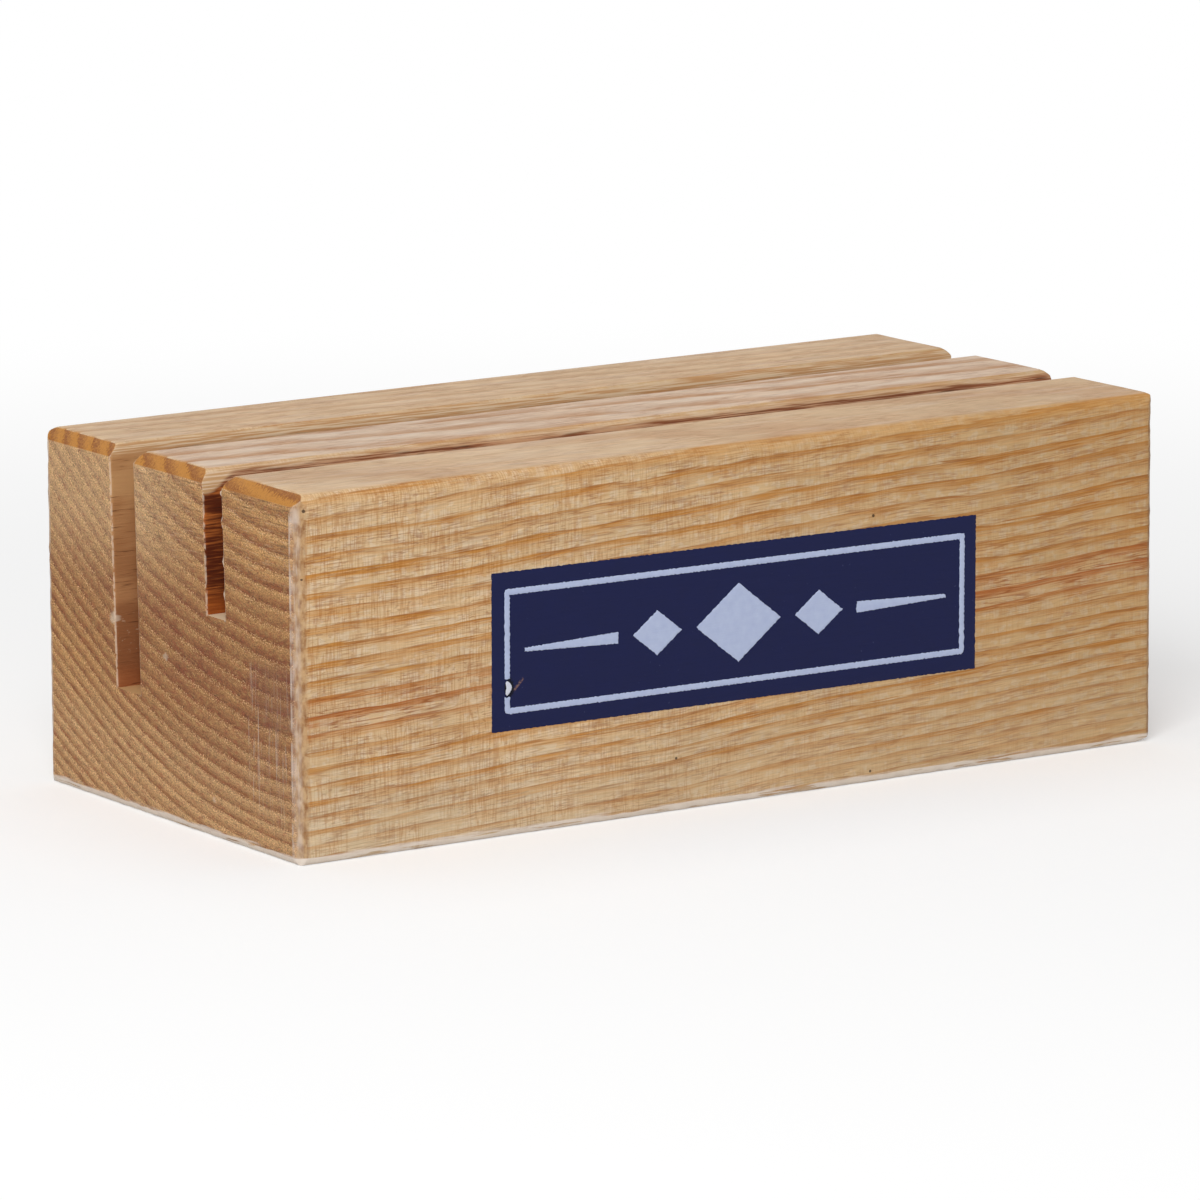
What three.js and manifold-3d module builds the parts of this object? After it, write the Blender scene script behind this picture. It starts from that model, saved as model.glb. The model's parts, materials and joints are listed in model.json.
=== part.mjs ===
// Table card holder: one block of ash with two through slots for upright cards,
// and a panel printed in two passes of ink on its front face.
// Millimetres. X runs along the block, the printed face looks along -Y, and Z is up.
// The origin is the middle of the face that the block stands on.

import * as THREE from 'three';
import { mergeVertices } from 'three/addons/utils/BufferGeometryUtils.js';
import Module from 'manifold-3d';

// Block
const BLOCK_LENGTH = 142;
const BLOCK_DEPTH = 67;
const BLOCK_HEIGHT = 50;

// Across the top, from the front face: a strip of wood, the front slot, a strip, the rear slot
const FRONT_STRIP = 19.2;
const FRONT_SLOT_WIDTH = 4.7;
const MIDDLE_STRIP = 18.5;
const REAR_SLOT_WIDTH = 6.2;

// Depths of the slots, and the angle in degrees by which they lean back, and a card with them
const FRONT_SLOT_DEPTH = 19.5;
const REAR_SLOT_DEPTH = 33.5;
const SLOT_LEAN = 2;

// Edges: rounded along the outside, eased at the slot mouths, chamfered across the top of each end,
// the right end less than the left
const LONG_EDGE_RADIUS = 1.6;
const MOUTH_EASE_WIDTH = 1.5;
const MOUTH_EASE_DEPTH = 3;
const LEFT_CHAMFER = 1.8;
const RIGHT_CHAMFER = 0.9;
const CORNER_RADIUS = 1.7;
const BASE_EDGE_RADIUS = 1.1;
const ARC_STEPS = 8;

// Printed panel: its size, the place of its centre on the front face, its small turn out of level
const PANEL_WIDTH = 80.3;
const PANEL_HEIGHT = 21.8;
const PANEL_CENTRE_X = -0.3;
const PANEL_CENTRE_Z = 25.2;
const PANEL_TURN = -0.3;
const PANEL_INK = 0.12;
const WHITE_INK = 0.08;

// White frame line, and the row of lozenges and tapered rules inside it
const BORDER_SIDE_MARGIN = 2;
const BORDER_TOP_MARGIN = 2.33;
const BORDER_LINE = 0.82;
const LOZENGE_WIDTH = 14;
const LOZENGE_HEIGHT = 11;
const SIDE_LOZENGE_WIDTH = 8;
const SIDE_LOZENGE_HEIGHT = 6.2;
const MOTIF_GAP = 2.4;
const RULE_WIDTH = 1.6;
const RULE_TIP = 0.5;

const FRONT_FACE = -BLOCK_DEPTH / 2;
const BACK_FACE = BLOCK_DEPTH / 2;
const QUARTER = Math.PI / 2;

const wasm = await Module();
wasm.setup();

// Closed three.js geometry to a solid that can be cut
function solidOf(geometry) {
  geometry.deleteAttribute('normal');
  geometry.deleteAttribute('uv');
  const merged = mergeVertices(geometry);
  return new wasm.Manifold(new wasm.Mesh({
    numProp: 3,
    vertProperties: new Float32Array(merged.attributes.position.array),
    triVerts: new Uint32Array(merged.index.array),
  }));
}

// Cut solid back to a three.js geometry
function geometryOf(solid) {
  const mesh = solid.getMesh();
  const geometry = new THREE.BufferGeometry();
  geometry.setAttribute('position', new THREE.BufferAttribute(mesh.vertProperties, 3));
  geometry.setIndex(new THREE.BufferAttribute(mesh.triVerts, 1));
  geometry.computeVertexNormals();
  return geometry;
}

function prism(outline, depth) {
  return new THREE.ExtrudeGeometry(outline, { depth, bevelEnabled: false, curveSegments: ARC_STEPS });
}

// Cross-section of the block, across (Y) by up (Z): round the base, then over the strips
// from the back to the front, going down and up again through each slot.
function crossSection() {
  const lean = THREE.MathUtils.degToRad(SLOT_LEAN);
  const easeStart = BLOCK_HEIGHT - MOUTH_EASE_DEPTH;
  const outline = new THREE.Shape();

  // Place of a leaning slot wall at height z, from its place at the top of the block
  const wallAt = (top, z) => top - (BLOCK_HEIGHT - z) * Math.tan(lean);

  // One slot, entered over its back lip and left over its front lip; the floor is square to the walls
  const throughSlot = (frontTop, width, depth) => {
    const backTop = frontTop + width;
    const frontFloor = BLOCK_HEIGHT - depth;
    const backFloor = frontFloor - width * Math.sin(lean) * Math.cos(lean);
    const backLip = wallAt(backTop, easeStart) + MOUTH_EASE_WIDTH;
    const frontLip = wallAt(frontTop, easeStart) - MOUTH_EASE_WIDTH;
    outline.absellipse(backLip, easeStart, MOUTH_EASE_WIDTH, MOUTH_EASE_DEPTH, QUARTER, 2 * QUARTER);
    outline.lineTo(wallAt(backTop, backFloor), backFloor);
    outline.lineTo(wallAt(frontTop, frontFloor), frontFloor);
    outline.absellipse(frontLip, easeStart, MOUTH_EASE_WIDTH, MOUTH_EASE_DEPTH, 0, QUARTER);
  };

  const roundCorner = (y, z, radius, start) => outline.absarc(y, z, radius, start, start + QUARTER);
  const frontSlotTop = FRONT_FACE + FRONT_STRIP;
  const rearSlotTop = frontSlotTop + FRONT_SLOT_WIDTH + MIDDLE_STRIP;

  outline.moveTo(FRONT_FACE, BASE_EDGE_RADIUS);
  roundCorner(FRONT_FACE + BASE_EDGE_RADIUS, BASE_EDGE_RADIUS, BASE_EDGE_RADIUS, 2 * QUARTER);
  roundCorner(BACK_FACE - BASE_EDGE_RADIUS, BASE_EDGE_RADIUS, BASE_EDGE_RADIUS, 3 * QUARTER);
  roundCorner(BACK_FACE - LONG_EDGE_RADIUS, BLOCK_HEIGHT - LONG_EDGE_RADIUS, LONG_EDGE_RADIUS, 0);
  throughSlot(rearSlotTop, REAR_SLOT_WIDTH, REAR_SLOT_DEPTH);
  throughSlot(frontSlotTop, FRONT_SLOT_WIDTH, FRONT_SLOT_DEPTH);
  roundCorner(FRONT_FACE + LONG_EDGE_RADIUS, BLOCK_HEIGHT - LONG_EDGE_RADIUS, LONG_EDGE_RADIUS, QUARTER);
  outline.closePath();
  return outline;
}

// Side view, along (X) by up (Z): chamfered top corners, eased bottom corners
function sideView() {
  const end = BLOCK_LENGTH / 2;
  const outline = new THREE.Shape();
  outline.moveTo(-end, BASE_EDGE_RADIUS);
  outline.absarc(-end + BASE_EDGE_RADIUS, BASE_EDGE_RADIUS, BASE_EDGE_RADIUS, 2 * QUARTER, 3 * QUARTER);
  outline.absarc(end - BASE_EDGE_RADIUS, BASE_EDGE_RADIUS, BASE_EDGE_RADIUS, 3 * QUARTER, 4 * QUARTER);
  outline.lineTo(end, BLOCK_HEIGHT - RIGHT_CHAMFER);
  outline.lineTo(end - RIGHT_CHAMFER, BLOCK_HEIGHT);
  outline.lineTo(-end + LEFT_CHAMFER, BLOCK_HEIGHT);
  outline.lineTo(-end, BLOCK_HEIGHT - LEFT_CHAMFER);
  outline.closePath();
  return outline;
}

// Plan, along (X) by across (Y): a rectangle with rounded corners
function plan() {
  const end = BLOCK_LENGTH / 2 - CORNER_RADIUS;
  const outline = new THREE.Shape();
  outline.moveTo(end + CORNER_RADIUS, FRONT_FACE + CORNER_RADIUS);
  outline.absarc(end, BACK_FACE - CORNER_RADIUS, CORNER_RADIUS, 0, QUARTER);
  outline.absarc(-end, BACK_FACE - CORNER_RADIUS, CORNER_RADIUS, QUARTER, 2 * QUARTER);
  outline.absarc(-end, FRONT_FACE + CORNER_RADIUS, CORNER_RADIUS, 2 * QUARTER, 3 * QUARTER);
  outline.absarc(end, FRONT_FACE + CORNER_RADIUS, CORNER_RADIUS, 3 * QUARTER, 4 * QUARTER);
  outline.closePath();
  return outline;
}

// The block is what its cross-section, its side view and its plan have in common.
function woodBlock() {
  const along = new THREE.Vector3(1, 0, 0);
  const across = new THREE.Vector3(0, 1, 0);
  const up = new THREE.Vector3(0, 0, 1);
  const toFront = new THREE.Vector3(0, -1, 0);

  const lengthwise = prism(crossSection(), BLOCK_LENGTH)
    .applyMatrix4(new THREE.Matrix4().makeBasis(across, up, along))
    .translate(-BLOCK_LENGTH / 2, 0, 0);
  const crosswise = prism(sideView(), BLOCK_DEPTH)
    .applyMatrix4(new THREE.Matrix4().makeBasis(along, up, toFront))
    .translate(0, BACK_FACE, 0);
  const upright = prism(plan(), BLOCK_HEIGHT);

  const solid = solidOf(lengthwise).intersect(solidOf(crosswise)).intersect(solidOf(upright));
  const clearAsh = new THREE.MeshStandardMaterial({ color: 0xc49a5e, roughness: 0.5, metalness: 0 });
  const block = new THREE.Mesh(geometryOf(solid), clearAsh);
  block.name = 'wood_block';
  return block;
}

// Closed outline through a few corner points
function polygon(points) {
  return new THREE.Shape(points.map(([x, y]) => new THREE.Vector2(x, y)));
}

function rectangle(width, height) {
  const x = width / 2;
  const y = height / 2;
  return polygon([[-x, -y], [x, -y], [x, y], [-x, y]]);
}

function lozenge(width, height) {
  return polygon([[0, -height / 2], [width / 2, 0], [0, height / 2], [-width / 2, 0]]);
}

// Straight rule from a blunt inner end at the origin to a fine outer tip
function taperedRule(length) {
  const inner = RULE_WIDTH / 2;
  const tip = RULE_TIP / 2;
  return polygon([[0, -inner], [length, -tip], [length, tip], [0, inner]]);
}

// Print on the front face: a solid blue panel, then white over it. The label stands on the
// face, where x is along the block, y is up and z is out of the face.
function printedLabel() {
  const blueInk = new THREE.MeshStandardMaterial({ color: 0x232655, roughness: 0.55, metalness: 0 });
  const whiteInk = new THREE.MeshStandardMaterial({ color: 0xc9cfe6, roughness: 0.6, metalness: 0 });
  const face = new THREE.Group();
  face.position.set(PANEL_CENTRE_X, FRONT_FACE, PANEL_CENTRE_Z);
  face.rotation.x = QUARTER;
  const label = new THREE.Group();
  label.rotation.z = THREE.MathUtils.degToRad(PANEL_TURN);
  face.add(label);

  const panel = new THREE.Mesh(prism(rectangle(PANEL_WIDTH, PANEL_HEIGHT), PANEL_INK), blueInk);
  panel.name = 'label_panel';
  label.add(panel);

  // One patch of the white pass, lying on the blue
  const white = (name, outline, x, turn) => {
    const patch = new THREE.Mesh(prism(outline, WHITE_INK), whiteInk);
    patch.name = name;
    patch.position.set(x, 0, PANEL_INK);
    patch.rotation.z = turn;
    label.add(patch);
  };

  const frameWidth = PANEL_WIDTH - 2 * BORDER_SIDE_MARGIN;
  const frameHeight = PANEL_HEIGHT - 2 * BORDER_TOP_MARGIN;
  const frameLine = rectangle(frameWidth, frameHeight);
  frameLine.holes.push(rectangle(frameWidth - 2 * BORDER_LINE, frameHeight - 2 * BORDER_LINE));
  white('label_border', frameLine, 0, 0);

  const sideLozengeX = (LOZENGE_WIDTH + SIDE_LOZENGE_WIDTH) / 2 + MOTIF_GAP;
  const ruleStart = sideLozengeX + SIDE_LOZENGE_WIDTH / 2 + MOTIF_GAP;
  const ruleLength = frameWidth / 2 - BORDER_LINE - MOTIF_GAP - ruleStart;
  white('label_lozenge', lozenge(LOZENGE_WIDTH, LOZENGE_HEIGHT), 0, 0);
  white('label_lozenge_left', lozenge(SIDE_LOZENGE_WIDTH, SIDE_LOZENGE_HEIGHT), -sideLozengeX, 0);
  white('label_lozenge_right', lozenge(SIDE_LOZENGE_WIDTH, SIDE_LOZENGE_HEIGHT), sideLozengeX, 0);
  white('label_rule_left', taperedRule(ruleLength), -ruleStart, Math.PI);
  white('label_rule_right', taperedRule(ruleLength), ruleStart, 0);
  return face;
}

const cardHolder = new THREE.Group();
cardHolder.add(woodBlock(), printedLabel());

export default cardHolder;
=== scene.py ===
"""Table card holder: a slotted block of clear-finished ash, with a panel screen-printed on its front face.

Metres in the scene. X runs along the block, the printed face looks along -Y, and the block stands on z = 0.
Meshes and patterns are worked out in millimetres, the unit that the block is made in.
"""
import json
import math
from types import SimpleNamespace

import bpy
import numpy as np
from mathutils import Matrix, Vector


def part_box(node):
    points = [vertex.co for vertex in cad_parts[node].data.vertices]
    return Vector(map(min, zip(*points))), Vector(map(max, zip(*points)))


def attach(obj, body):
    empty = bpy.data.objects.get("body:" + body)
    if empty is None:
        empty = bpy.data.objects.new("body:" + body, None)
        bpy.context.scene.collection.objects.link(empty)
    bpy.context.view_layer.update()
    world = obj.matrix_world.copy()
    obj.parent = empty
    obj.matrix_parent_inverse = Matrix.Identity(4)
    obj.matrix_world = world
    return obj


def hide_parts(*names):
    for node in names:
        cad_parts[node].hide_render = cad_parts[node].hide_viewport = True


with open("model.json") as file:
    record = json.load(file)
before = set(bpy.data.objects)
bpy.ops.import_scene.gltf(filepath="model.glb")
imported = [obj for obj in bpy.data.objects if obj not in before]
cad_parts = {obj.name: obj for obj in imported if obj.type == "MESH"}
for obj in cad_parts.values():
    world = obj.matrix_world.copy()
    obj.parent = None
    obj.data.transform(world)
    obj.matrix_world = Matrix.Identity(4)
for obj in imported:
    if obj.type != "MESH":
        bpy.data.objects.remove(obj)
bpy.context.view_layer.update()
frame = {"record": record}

# The wood block: one length of ash, planed square and run twice over a cutter, so that two slots go right
# through it and lean back a little. Its long edges are rounded, its ends chamfered along the top, and its
# clear satin finish has worn off the corners and the foot.
MM = 0.001
block_low, block_high = (np.array(corner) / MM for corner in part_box("wood_block"))
left_end, front_face, foot = block_low
right_end, back_face, top_face = block_high
slot_floors = {mount["name"]: np.array(mount["pos_m"]) / MM for mount in frame["record"]["mounts"]}

SLOT_LEAN = math.tan(math.radians(2))
FRONT_SLOT_WIDTH = 4.7
REAR_SLOT_WIDTH = 6.2

# Reach of the eased edges from the square corner: the foot's along the floor and up the side, and the far
# chamfer's at the front, in the middle and at the back
EDGE_REACH = 1.7
FAR_CORNER = 1.1
FOOT_REACH = (0.6, 1.3)
FAR_FOOT = (2.6, 1.2)
END_CHAMFER = 1.8
FAR_CHAMFER = (0.5, 0.9, 1.4)
SAW_EDGE = 0.3

# Front slot then rear slot, near wall then far wall: width and depth of the lip, depth of the torn edge at
# the ends, and how strongly its torn fibres and a painted edge highlight show
LIPS = (((1.5, 2.4), (2.1, 3.6)), ((1.4, 2.4), (1.2, 2.2)))
LIP_WIDTH, LIP_DEPTH = np.max(LIPS, axis=(0, 1))
TORN_DEPTHS = ((0.16, 0.04), (0.05, 0.04))
TORN_AND_HIGHLIGHT_SHARES = ((0.85, 0.5), (0.6, 0.55))

# Nicks in the left end as y, z, size and share, and dark specks on the front as x, z and size
NICKS = ((14.4, 26.0, 1.2, 0.6), (0.8, 22.9, 0.7, 0.4), (-11.6, 5.2, 0.5, 0.4))
FRONT_SPECKS = (
    (22.4, 37.6, 0.26), (-10.6, 7.4, 0.22), (21.9, 1.6, 0.22), (-69.7, 47.9, 0.26), (-70.0, 38.7, 0.16),
)

# Longest mesh steps, and the angle past which an edge stays sharp
FINE_STEP = 0.3
FACE_STEP = 0.9
LONG_STEP = 1.5
SHARP_ANGLE = math.radians(50)

# Shape of an eased edge: 1 is a flat chamfer, 2 a round, and more than 2 a squarer edge. Wear makes the
# corners and the foot uneven, and the eased zone runs past the corner for points that tearing pushed out.
CHAMFER_POWER = 1.12
CORNER_POWER = 1.5
ROUND_POWER = 2.0
WORN_POWER = 1.6
CORNER_WEAR = 0.15
FOOT_WEAR = 0.4
PAST_CORNER = 1.4


def cut_lines(breaks, steps):
    """Places along one axis: each stretch between two breaks, cut into equal steps no longer than its own."""
    stretches = zip(breaks[:-1], breaks[1:], steps)
    runs = [np.linspace(a, b, math.ceil((b - a) / step), endpoint=False) for a, b, step in stretches]
    return np.append(np.concatenate(runs), breaks[-1])


def wander(along, wavelength, seed):
    """Smooth seeded unevenness of about -1 to 1: six sine waves, from half to twice the wavelength long."""
    draw = np.random.default_rng(seed)
    lengths = wavelength * 2.0 ** draw.uniform(-1, 1, 6)
    starts = draw.uniform(0, 2 * math.pi, 6)
    return np.sin(2 * math.pi * along[:, None] / lengths + starts).sum(axis=1) / 3


def ease_corner(points, axes, corner, inner, power, where=True):
    """Cut the square edge at a corner of two axes down to a curve.

    Inside the zone from the inner point to the corner, an offset (a, b) of 0 to 1 beyond the curve
    a^p + b^p = 1 is pulled back onto it, straight towards the inner point.
    """
    reach = np.subtract(corner, inner)
    offset = (points[:, axes] - inner) / reach
    inside = ((offset > 0) & (offset < PAST_CORNER)).all(axis=1) & where
    a, b = np.clip(offset, 1e-9, None).T
    beyond = np.maximum((a ** power + b ** power) ** (1 / power), 1)
    eased = inner + reach * offset / beyond[:, None]
    points[:, axes] = np.where(inside[:, None], eased, points[:, axes])


def slot_walls(floor, width):
    """Near wall, far wall and floor height of a slot, with the walls placed where they meet the top."""
    middle = floor[1] + (top_face - floor[2]) * SLOT_LEAN
    return middle - width / 2, middle + width / 2, floor[2]


slots = [
    slot_walls(slot_floors["front_slot_floor"], FRONT_SLOT_WIDTH),
    slot_walls(slot_floors["rear_slot_floor"], REAR_SLOT_WIDTH),
]


def block_skin():
    """Points and quads of the block.

    The comb-shaped cross-section is a mask of small cells. Its rim is carried along X for the long faces and
    the slots, and its filled cells close both ends. The edges are eased afterwards.
    """
    across_breaks = [front_face, front_face + EDGE_REACH]
    across_steps = [FINE_STEP]
    for near, far, _ in slots:
        across_breaks += [near - LIP_WIDTH, near, far, far + LIP_WIDTH]
        across_steps += [FACE_STEP, FINE_STEP, FACE_STEP, FINE_STEP]
    across = cut_lines(
        across_breaks + [back_face - EDGE_REACH, back_face],
        across_steps + [FACE_STEP, FINE_STEP],
    )
    floors = sorted(floor for _, _, floor in slots)
    up = cut_lines(
        [foot, foot + FOOT_REACH[1], *floors, top_face - LIP_DEPTH, top_face],
        [FINE_STEP, FACE_STEP, FACE_STEP, FACE_STEP, FINE_STEP],
    )
    along = cut_lines(
        [left_end, left_end + END_CHAMFER, right_end - FAR_FOOT[0], right_end],
        [FINE_STEP, LONG_STEP, FINE_STEP],
    )

    middle_y, middle_z = np.meshgrid((across[1:] + across[:-1]) / 2, (up[1:] + up[:-1]) / 2, indexing="ij")
    filled = np.ones(middle_y.shape, int)
    for near, far, floor in slots:
        filled[(middle_y > near) & (middle_y < far) & (middle_z > floor)] = 0

    count_y, count_z = len(across), len(up)
    station = count_y * count_z
    steps = np.arange(len(along) - 1)[:, None] * station

    def rim(change, step):
        """Wall quads over the rim edges where the mask changes, each edge one step long."""
        start = change[:, 0] * count_z + change[:, 1] + steps
        quad = np.stack([start, start + step, start + step + station, start + station], axis=-1)
        return quad.reshape(-1, 4)

    change_y = np.diff(np.pad(filled, ((1, 1), (0, 0))), axis=0)
    change_z = np.diff(np.pad(filled, ((0, 0), (1, 1))), axis=1)
    cells = np.argwhere(filled == 1)
    cell = cells[:, 0] * count_z + cells[:, 1]
    cap = np.stack([cell, cell + 1, cell + count_z + 1, cell + count_z], axis=-1)
    quads = np.concatenate([
        rim(np.argwhere(change_y == -1), 1),
        rim(np.argwhere(change_y == 1), 1)[:, ::-1],
        rim(np.argwhere(change_z == 1), count_z),
        rim(np.argwhere(change_z == -1), count_z)[:, ::-1],
        cap,
        cap[:, ::-1] + steps[-1] + station,
    ])
    lattice = np.stack(np.meshgrid(along, across, up, indexing="ij"), axis=-1).reshape(-1, 3)
    used, quads = np.unique(quads, return_inverse=True)
    return lattice[used], quads.reshape(-1, 4)


def ease_block(points):
    """Round the slot lips and the long edges, chamfer the ends, wear the foot, and lean the slots back."""
    x, y, z = points.T.copy()
    end_wear = wander(y, 5.0, 11)
    long_wear = wander(x, 6.0, 12)
    corner_wear = wander(z, 5.0, 13) + 0.6 * wander(z, 1.2, 14)
    for (near, far, floor), lips, torn_depths in zip(slots, LIPS, TORN_DEPTHS):
        for wall, away, (width, depth), torn_depth in zip((near, far), (-1, 1), lips, torn_depths):
            lip = (wall + away * width, top_face - depth)
            ease_corner(points, [1, 2], (wall, top_face), lip, ROUND_POWER)
            at_end = np.clip(np.abs(x) - right_end + 1, 0, 1)
            torn = np.clip(1 - np.abs(y - wall) / SAW_EDGE, 0, 1) * at_end * (z >= floor)
            points[:, 1] += torn_depth * torn * wander(z, 2.0, int(100 + wall))
    for end, reach in ((left_end, EDGE_REACH), (right_end, FAR_CORNER)):
        inward = -np.sign(end)
        for near, far, floor in slots:
            for wall, away in ((near, -1), (far, 1)):
                sawn = (end + inward * SAW_EDGE, wall + away * SAW_EDGE)
                ease_corner(points, [0, 1], (end, wall), sawn, ROUND_POWER, z >= floor)
        for face in (front_face, back_face):
            corner = (end + inward * reach, face - np.sign(face) * reach)
            ease_corner(points, [0, 1], (end, face), corner, CORNER_POWER + CORNER_WEAR * corner_wear)
    for face in (front_face, back_face):
        inward = -np.sign(face)
        rounded = (face + inward * EDGE_REACH, top_face - EDGE_REACH)
        ease_corner(points, [1, 2], (face, top_face), rounded, ROUND_POWER)
        worn = (face + inward * FOOT_REACH[0], foot + FOOT_REACH[1])
        ease_corner(points, [1, 2], (face, foot), worn, WORN_POWER + FOOT_WEAR * long_wear)
    far_chamfer = np.interp(y, [front_face, 0, back_face], FAR_CHAMFER)
    for end, chamfer_reach, foot_reach in (
        (left_end, np.full_like(y, END_CHAMFER), FOOT_REACH), (right_end, far_chamfer, FAR_FOOT),
    ):
        inward = -np.sign(end)
        chamfer = np.stack([end + inward * chamfer_reach, top_face - chamfer_reach], axis=1)
        ease_corner(points, [0, 2], (end, top_face), chamfer, CHAMFER_POWER)
        worn = (end + inward * foot_reach[0], foot + foot_reach[1])
        ease_corner(points, [0, 2], (end, foot), worn, WORN_POWER + FOOT_WEAR * end_wear)
    upright = [front_face + EDGE_REACH, slots[0][0], slots[1][1], back_face - EDGE_REACH]
    points[:, 1] -= SLOT_LEAN * (top_face - z) * np.interp(y, upright, [0, 1, 1, 0])


def make_piece(name, points, quads, material, node):
    """A smooth mesh piece from points in millimetres and outward quads, riding on the one body."""
    mesh = bpy.data.meshes.new(name)
    mesh.vertices.add(len(points))
    mesh.vertices.foreach_set("co", (points * MM).astype(np.float32).ravel())
    mesh.loops.add(quads.size)
    mesh.loops.foreach_set("vertex_index", quads.astype(np.int32).ravel())
    mesh.polygons.add(len(quads))
    mesh.polygons.foreach_set("loop_start", np.arange(0, quads.size, 4, dtype=np.int32))
    mesh.polygons.foreach_set("use_smooth", np.ones(len(quads), bool))
    mesh.update(calc_edges=True)
    mesh.validate()
    mesh.set_sharp_from_angle(angle=SHARP_ANGLE)
    mesh.materials.append(material)
    piece = bpy.data.objects.new(name, mesh)
    bpy.context.scene.collection.objects.link(piece)
    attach(piece, "root")
    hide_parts(node)


class Wire:
    """One output of a material's node tree. Arithmetic between wires and numbers adds Math nodes."""

    def __init__(self, tree, socket=None):
        self.tree = tree
        self.socket = socket

    def node(self, kind, settings=None, sockets=None, output=0):
        """A node of this kind: its settings first, then its sockets' values or links. Returns an output."""
        made = self.tree.nodes.new("ShaderNode" + kind)
        for name, value in (settings or {}).items():
            setattr(made, name, value)
        for name, value in (sockets or {}).items():
            if isinstance(value, Wire):
                self.tree.links.new(value.socket, made.inputs[name])
            else:
                made.inputs[name].default_value = value
        return Wire(self.tree, made.outputs[output]) if made.outputs else None

    def out(self, name):
        """Another output of the same node."""
        return Wire(self.tree, self.socket.node.outputs[name])

    def math(self, operation, *values):
        """A Math node with this wire as its first value."""
        return self.node("Math", {"operation": operation}, dict(enumerate((self, *values))))

    def __add__(self, other):
        return self.math("ADD", other)

    def __sub__(self, other):
        return self.math("SUBTRACT", other)

    def __mul__(self, other):
        return self.math("MULTIPLY", other)

    def __truediv__(self, other):
        return self.math("DIVIDE", other)

    def __rsub__(self, other):
        return self.node("Math", {"operation": "SUBTRACT"}, {0: other, 1: self})

    __radd__ = __add__
    __rmul__ = __mul__

    def rise(self, low, high):
        """Smooth step: 0 below low, 1 above high."""
        sockets = {"Value": self, "From Min": low, "From Max": high}
        return self.node("MapRange", {"interpolation_type": "SMOOTHSTEP"}, sockets)

    def near(self, middle, core, reach):
        """1 within core of the middle, fading smoothly to 0 at reach."""
        return 1 - (self - middle).math("ABSOLUTE").rise(core, reach)

    def noise(self, along, across, up, detail=1.0):
        """Smooth noise of about 0 to 1 over three coordinates."""
        vector = self.node("CombineXYZ", None, {0: along, 1: across, 2: up})
        return self.node("TexNoise", None, {"Vector": vector, "Scale": 1.0, "Detail": detail})

    def blend(self, first, second):
        """The first colour where this wire is 0, the second where it is 1."""
        return self.node("Mix", {"data_type": "RGBA"}, {0: self, 6: first, 7: second}, output=2)

    def shade(self, colour):
        """A colour made lighter or darker by this wire."""
        return self.node("VectorMath", {"operation": "SCALE"}, {0: colour, "Scale": self})


def paint(red, green, blue):
    """A colour as it is seen, 0 to 255, as linear red, green, blue and alpha."""
    seen = np.array([red, green, blue]) / 255
    linear = np.where(seen < 0.04045, seen / 12.92, ((seen + 0.055) / 1.055) ** 2.4)
    return (*linear, 1.0)


def new_material(name):
    """An empty node material, a wire into it, and its millimetre coordinates and facing as wires."""
    material = bpy.data.materials.new(name)
    material.use_nodes = True
    material.node_tree.nodes.clear()
    wire = Wire(material.node_tree)
    coordinates = wire.node("TexCoord")
    place = wire.node("VectorMath", {"operation": "SCALE"}, {0: coordinates.out("Object"), "Scale": 1 / MM})
    x = wire.node("SeparateXYZ", None, {0: place})
    facing_x = wire.node("SeparateXYZ", None, {0: coordinates.out("Normal")})
    places = x, x.out("Y"), x.out("Z")
    facing = facing_x, facing_x.out("Y"), facing_x.out("Z")
    return material, wire, places, facing


def finish_material(wire, colour, roughness, gloss, height, depth):
    """Principled surface with a bump of the given depth in millimetres."""
    normal = wire.node("Bump", None, {"Height": height, "Distance": depth * MM, "Strength": 1.0})
    sockets = {"Base Color": colour, "Roughness": roughness, "Specular IOR Level": gloss, "Normal": normal}
    surface = wire.node("BsdfPrincipled", None, sockets)
    wire.node("OutputMaterial", None, {"Surface": surface})


# The pith's place at the left end, as y and z, and its climb along the block. Rings are counted from a first
# radius, and crowd together away from it. Three bands of them differ in tone.
PITH = (-32.0, 119.7)
PITH_CLIMB = 0.046
FIRST_RING = 75.5
RINGS_PER_MM = 0.394
RING_CROWDING = 2.4e-5
RED_RING = 100.2
HEART_BAND = 98.5
BROWN_BAND = 98.0
WOOD_GLOSS = 0.22
GRAIN_DEPTH = 0.04


def ash_rings(wire, place, end_mask):
    """Growth rings as wires: circles about a pith above the front face, which climbs along the block.

    A ring is counted from its radius, which drifts slowly, and its edge is ragged along the grain.
    """
    x, y, z = place
    side = y - PITH[0]
    drop = PITH[1] + PITH_CLIMB * (x - left_end) - z
    drift = wire.noise(x / 45, y / 30, z / 30) - 0.5
    radius = (side * side + drop * drop).math("SQRT") + 2.2 * drift
    around = 100 * side.math("ARCTAN2", drop)
    age = radius - FIRST_RING
    ragged = wire.noise(x / 12, around / 0.45, radius / 0.45, 2.0) - 0.5
    count = age * (RINGS_PER_MM + RING_CROWDING * age * age) + (0.6 - 0.47 * end_mask) * ragged
    number = count.math("FLOOR")
    luck = wire.node("TexWhiteNoise", {"noise_dimensions": "1D"}, {"W": number})
    heart = radius.near(HEART_BAND, 2.0, 11.0)
    phase = count.math("FRACT")
    return SimpleNamespace(
        radius=radius, around=around, number=number, phase=phase, luck=luck, ragged=ragged, heart=heart,
    )


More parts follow.
